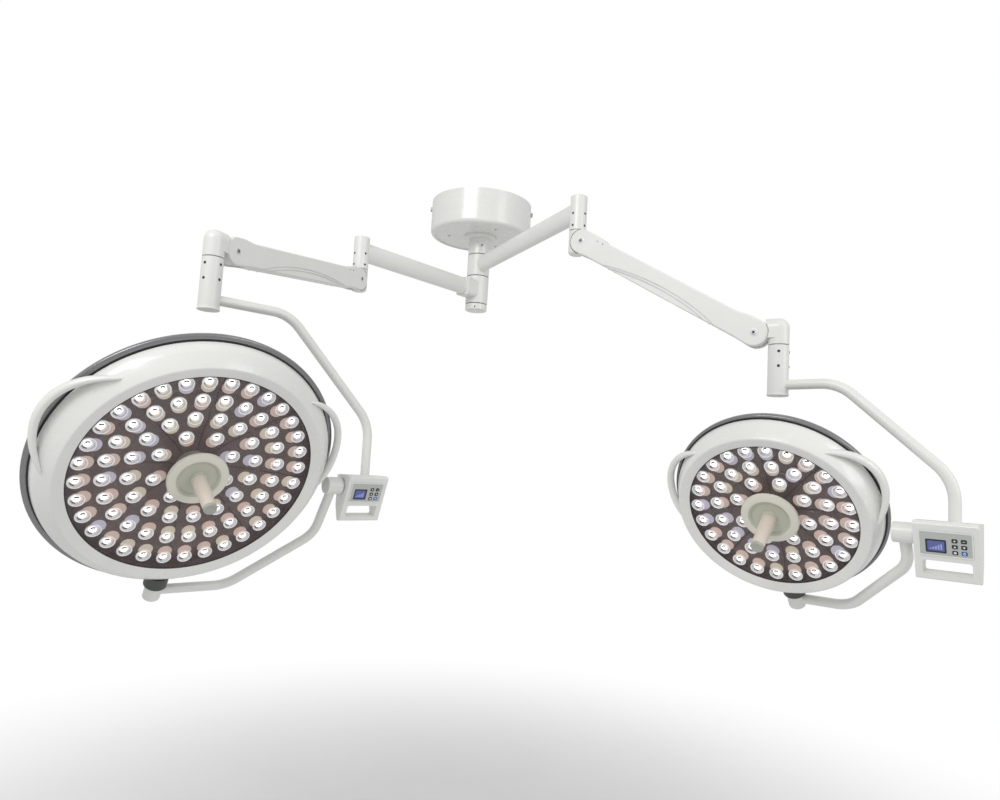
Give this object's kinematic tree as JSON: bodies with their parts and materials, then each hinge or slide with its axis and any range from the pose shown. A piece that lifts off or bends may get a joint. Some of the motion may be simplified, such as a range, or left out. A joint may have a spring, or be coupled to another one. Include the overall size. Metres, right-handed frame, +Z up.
{
  "type": "surgical light",
  "caption": "Ceiling-mounted surgical light with a large and a small round LED head on jointed spring arms.",
  "frame": {"origin": "centre of the ceiling plate's top face, on the column's axis", "axes": "+Z up, along the column; +Y away from the side that the two heads hang on; +X to the small head"},
  "size_m": [2.0862, 1.5979, 1.4473],
  "materials": {
    "paint_white": "off-white powder coat, satin",
    "abs_white": "off-white moulded cover",
    "paint_metallic": "metallic grey",
    "steel_plate": "zinc-plated",
    "steel_pin": "ground",
    "spring_steel": "oiled, dark",
    "bush": "turned",
    "supply_case": "finned, anodised",
    "collar_dark": "dark grey",
    "window_clear": "smoked clear",
    "carrier_dark": "dark satin",
    "lens_clear": "clear optical",
    "disc_cream": "satin, cream grey",
    "grip_beige": "autoclavable, beige",
    "panel_foil": "membrane foil",
    "key_black": "satin black",
    "key_blue": "satin blue"
  },
  "bodies": {
    "mount": {"ceiling_plate": "steel_plate", "canopy_cover": "abs_white", "column_collar": "abs_white", "column_shaft": "steel_plate", "column_bushes": "bush", "power_supplies": "supply_case", "column_end_cap": "abs_white", "ceiling_screws": "steel_pin"},
    "large_arm": {"large_arm": "paint_white"},
    "large_elbow": {"large_base_knuckle": "paint_white"},
    "large_spring_arm": {"large_spring_arm": "paint_white", "large_balance_spring": "spring_steel", "large_pivot_pins": "steel_pin"},
    "large_level_rod": {"large_level_rod": "steel_pin"},
    "large_end_knuckle": {"large_end_knuckle": "paint_white"},
    "large_yoke": {"large_swivel_yoke": "paint_white", "large_control_box": "abs_white", "large_control_panel": "panel_foil"},
    "large_key_brighter": {"large_key_brighter": "key_black"},
    "large_key_dimmer": {"large_key_dimmer": "key_black"},
    "large_key_warmer": {"large_key_warmer": "key_black"},
    "large_key_cooler": {"large_key_cooler": "key_black"},
    "large_key_endo": {"large_key_endo": "key_black"},
    "large_key_power": {"large_key_power": "key_blue"},
    "large_lower_yoke": {"large_lower_yoke": "paint_white"},
    "large_head": {"large_tilt_collar": "collar_dark", "large_front_ring": "abs_white", "large_rear_cover": "paint_metallic", "large_window": "window_clear", "large_led_carrier": "carrier_dark", "large_led_lenses": "lens_clear", "large_handle_base": "disc_cream", "large_side_handles": "abs_white"},
    "large_grip": {"large_sterile_grip": "grip_beige"},
    "small_arm": {"small_arm": "paint_white"},
    "small_elbow": {"small_base_knuckle": "paint_white"},
    "small_spring_arm": {"small_spring_arm": "paint_white", "small_balance_spring": "spring_steel", "small_pivot_pins": "steel_pin"},
    "small_level_rod": {"small_level_rod": "steel_pin"},
    "small_end_knuckle": {"small_end_knuckle": "paint_white"},
    "small_yoke": {"small_swivel_yoke": "paint_white", "small_control_box": "abs_white", "small_control_panel": "panel_foil"},
    "small_key_brighter": {"small_key_brighter": "key_black"},
    "small_key_dimmer": {"small_key_dimmer": "key_black"},
    "small_key_warmer": {"small_key_warmer": "key_black"},
    "small_key_cooler": {"small_key_cooler": "key_black"},
    "small_key_endo": {"small_key_endo": "key_black"},
    "small_key_power": {"small_key_power": "key_blue"},
    "small_lower_yoke": {"small_lower_yoke": "paint_white"},
    "small_head": {"small_tilt_collar": "collar_dark", "small_front_ring": "abs_white", "small_rear_cover": "paint_metallic", "small_window": "window_clear", "small_led_carrier": "carrier_dark", "small_led_lenses": "lens_clear", "small_handle_base": "disc_cream", "small_side_handles": "abs_white"},
    "small_grip": {"small_sterile_grip": "grip_beige"}
  },
  "joints": [
    {"name": "large_arm_yaw", "type": "hinge", "parent": "mount", "child": "large_arm", "pos_m": [0, 0, -0.351], "axis": [0, 0, 1], "range_deg": [-180, 15]},
    {"name": "large_elbow_yaw", "type": "hinge", "parent": "large_arm", "child": "large_elbow", "pos_m": [-0.38053, -0.4535, -0.453], "axis": [0, 0, 1], "range_deg": [-150, 10]},
    {"name": "large_arm_lift", "type": "hinge", "parent": "large_elbow", "child": "large_spring_arm", "pos_m": [-0.38891, -0.47652, -0.453], "axis": [-0.9397, 0.342, 0], "range_deg": [-36.5, 33.5]},
    {"name": "large_rod_pivot", "type": "hinge", "parent": "large_elbow", "child": "large_level_rod", "pos_m": [-0.38891, -0.47652, -0.473], "axis": [-0.9397, 0.342, 0], "range_deg": [-36.5, 33.5]},
    {"name": "large_end_level", "type": "hinge", "parent": "large_spring_arm", "child": "large_end_knuckle", "pos_m": [-0.59322, -1.03786, -0.54228], "axis": [-0.9397, 0.342, 0], "range_deg": [-33.5, 36.5]},
    {"name": "large_yoke_swivel", "type": "hinge", "parent": "large_end_knuckle", "child": "large_yoke", "pos_m": [-0.61306, -1.09236, -0.54228], "axis": [0, 0, 1], "range_deg": [-175, 150]},
    {"name": "large_press_brighter", "type": "slide", "parent": "large_yoke", "child": "large_key_brighter", "axis": [-0.6288, 0.6983, 0.342], "range_m": [0, 0.0008], "stiffness_N_per_m": 900, "springref_m": -0.0002},
    {"name": "large_press_dimmer", "type": "slide", "parent": "large_yoke", "child": "large_key_dimmer", "axis": [-0.6288, 0.6983, 0.342], "range_m": [0, 0.0008], "stiffness_N_per_m": 900, "springref_m": -0.0002},
    {"name": "large_press_warmer", "type": "slide", "parent": "large_yoke", "child": "large_key_warmer", "axis": [-0.6288, 0.6983, 0.342], "range_m": [0, 0.0008], "stiffness_N_per_m": 900, "springref_m": -0.0002},
    {"name": "large_press_cooler", "type": "slide", "parent": "large_yoke", "child": "large_key_cooler", "axis": [-0.6288, 0.6983, 0.342], "range_m": [0, 0.0008], "stiffness_N_per_m": 900, "springref_m": -0.0002},
    {"name": "large_press_endo", "type": "slide", "parent": "large_yoke", "child": "large_key_endo", "axis": [-0.6288, 0.6983, 0.342], "range_m": [0, 0.0008], "stiffness_N_per_m": 900, "springref_m": -0.0002},
    {"name": "large_press_power", "type": "slide", "parent": "large_yoke", "child": "large_key_power", "axis": [-0.6288, 0.6983, 0.342], "range_m": [0, 0.0008], "stiffness_N_per_m": 900, "springref_m": -0.0002},
    {"name": "large_yoke_swing", "type": "hinge", "parent": "large_yoke", "child": "large_lower_yoke", "pos_m": [-0.61306, -1.09236, -1.12828], "axis": [0.7431, 0.6691, 0], "range_deg": [-122, 58]},
    {"name": "large_head_tilt", "type": "hinge", "parent": "large_lower_yoke", "child": "large_head", "pos_m": [-0.61306, -1.09236, -1.09054], "axis": [0.3546, -0.3938, 0.848], "range_deg": [-90, 90]},
    {"name": "large_focus_turn", "type": "hinge", "parent": "large_head", "child": "large_grip", "pos_m": [-0.578, -1.1338, -1.12444], "axis": [0.5478, -0.6475, -0.5297], "range_deg": [-45, 45]},
    {"name": "small_arm_yaw", "type": "hinge", "parent": "mount", "child": "small_arm", "pos_m": [0, 0, -0.25], "axis": [0, 0, 1], "range_deg": [-15, 180]},
    {"name": "small_elbow_yaw", "type": "hinge", "parent": "small_arm", "child": "small_elbow", "pos_m": [0.3279, -0.6723, -0.352], "axis": [0, 0, 1], "range_deg": [-10, 150]},
    {"name": "small_arm_lift", "type": "hinge", "parent": "small_elbow", "child": "small_spring_arm", "pos_m": [0.34845, -0.68564, -0.352], "axis": [0.5446, 0.8387, 0], "range_deg": [-56, 14]},
    {"name": "small_rod_pivot", "type": "hinge", "parent": "small_elbow", "child": "small_level_rod", "pos_m": [0.34845, -0.68564, -0.372], "axis": [0.5446, 0.8387, 0], "range_deg": [-56, 14]},
    {"name": "small_end_level", "type": "hinge", "parent": "small_spring_arm", "child": "small_end_knuckle", "pos_m": [0.78265, -0.96762, -0.66308], "axis": [0.5446, 0.8387, 0], "range_deg": [-14, 56]},
    {"name": "small_yoke_swivel", "type": "hinge", "parent": "small_end_knuckle", "child": "small_yoke", "pos_m": [0.8313, -0.99921, -0.66308], "axis": [0, 0, 1], "range_deg": [-150, 175]},
    {"name": "small_press_brighter", "type": "slide", "parent": "small_yoke", "child": "small_key_brighter", "axis": [0.6227, 0.7038, 0.342], "range_m": [0, 0.0008], "stiffness_N_per_m": 900, "springref_m": -0.0002},
    {"name": "small_press_dimmer", "type": "slide", "parent": "small_yoke", "child": "small_key_dimmer", "axis": [0.6227, 0.7038, 0.342], "range_m": [0, 0.0008], "stiffness_N_per_m": 900, "springref_m": -0.0002},
    {"name": "small_press_warmer", "type": "slide", "parent": "small_yoke", "child": "small_key_warmer", "axis": [0.6227, 0.7038, 0.342], "range_m": [0, 0.0008], "stiffness_N_per_m": 900, "springref_m": -0.0002},
    {"name": "small_press_cooler", "type": "slide", "parent": "small_yoke", "child": "small_key_cooler", "axis": [0.6227, 0.7038, 0.342], "range_m": [0, 0.0008], "stiffness_N_per_m": 900, "springref_m": -0.0002},
    {"name": "small_press_endo", "type": "slide", "parent": "small_yoke", "child": "small_key_endo", "axis": [0.6227, 0.7038, 0.342], "range_m": [0, 0.0008], "stiffness_N_per_m": 900, "springref_m": -0.0002},
    {"name": "small_press_power", "type": "slide", "parent": "small_yoke", "child": "small_key_power", "axis": [0.6227, 0.7038, 0.342], "range_m": [0, 0.0008], "stiffness_N_per_m": 900, "springref_m": -0.0002},
    {"name": "small_yoke_swing", "type": "hinge", "parent": "small_yoke", "child": "small_lower_yoke", "pos_m": [0.8313, -0.99921, -1.14608], "axis": [0.749, -0.6626, 0], "range_deg": [-124, 56]},
    {"name": "small_head_tilt", "type": "hinge", "parent": "small_lower_yoke", "child": "small_head", "pos_m": [0.83043, -1.00019, -1.10837], "axis": [-0.3705, -0.4188, 0.829], "range_deg": [-90, 90]},
    {"name": "small_focus_turn", "type": "hinge", "parent": "small_head", "child": "small_grip", "pos_m": [0.7987, -1.04279, -1.14407], "axis": [-0.4958, -0.6656, -0.5578], "range_deg": [-45, 45]}
  ],
  "couplings": [
    {"joint": "large_rod_pivot", "follows": "large_arm_lift", "ratio": 1},
    {"joint": "large_end_level", "follows": "large_arm_lift", "ratio": -1},
    {"joint": "small_rod_pivot", "follows": "small_arm_lift", "ratio": 1},
    {"joint": "small_end_level", "follows": "small_arm_lift", "ratio": -1}
  ]
}
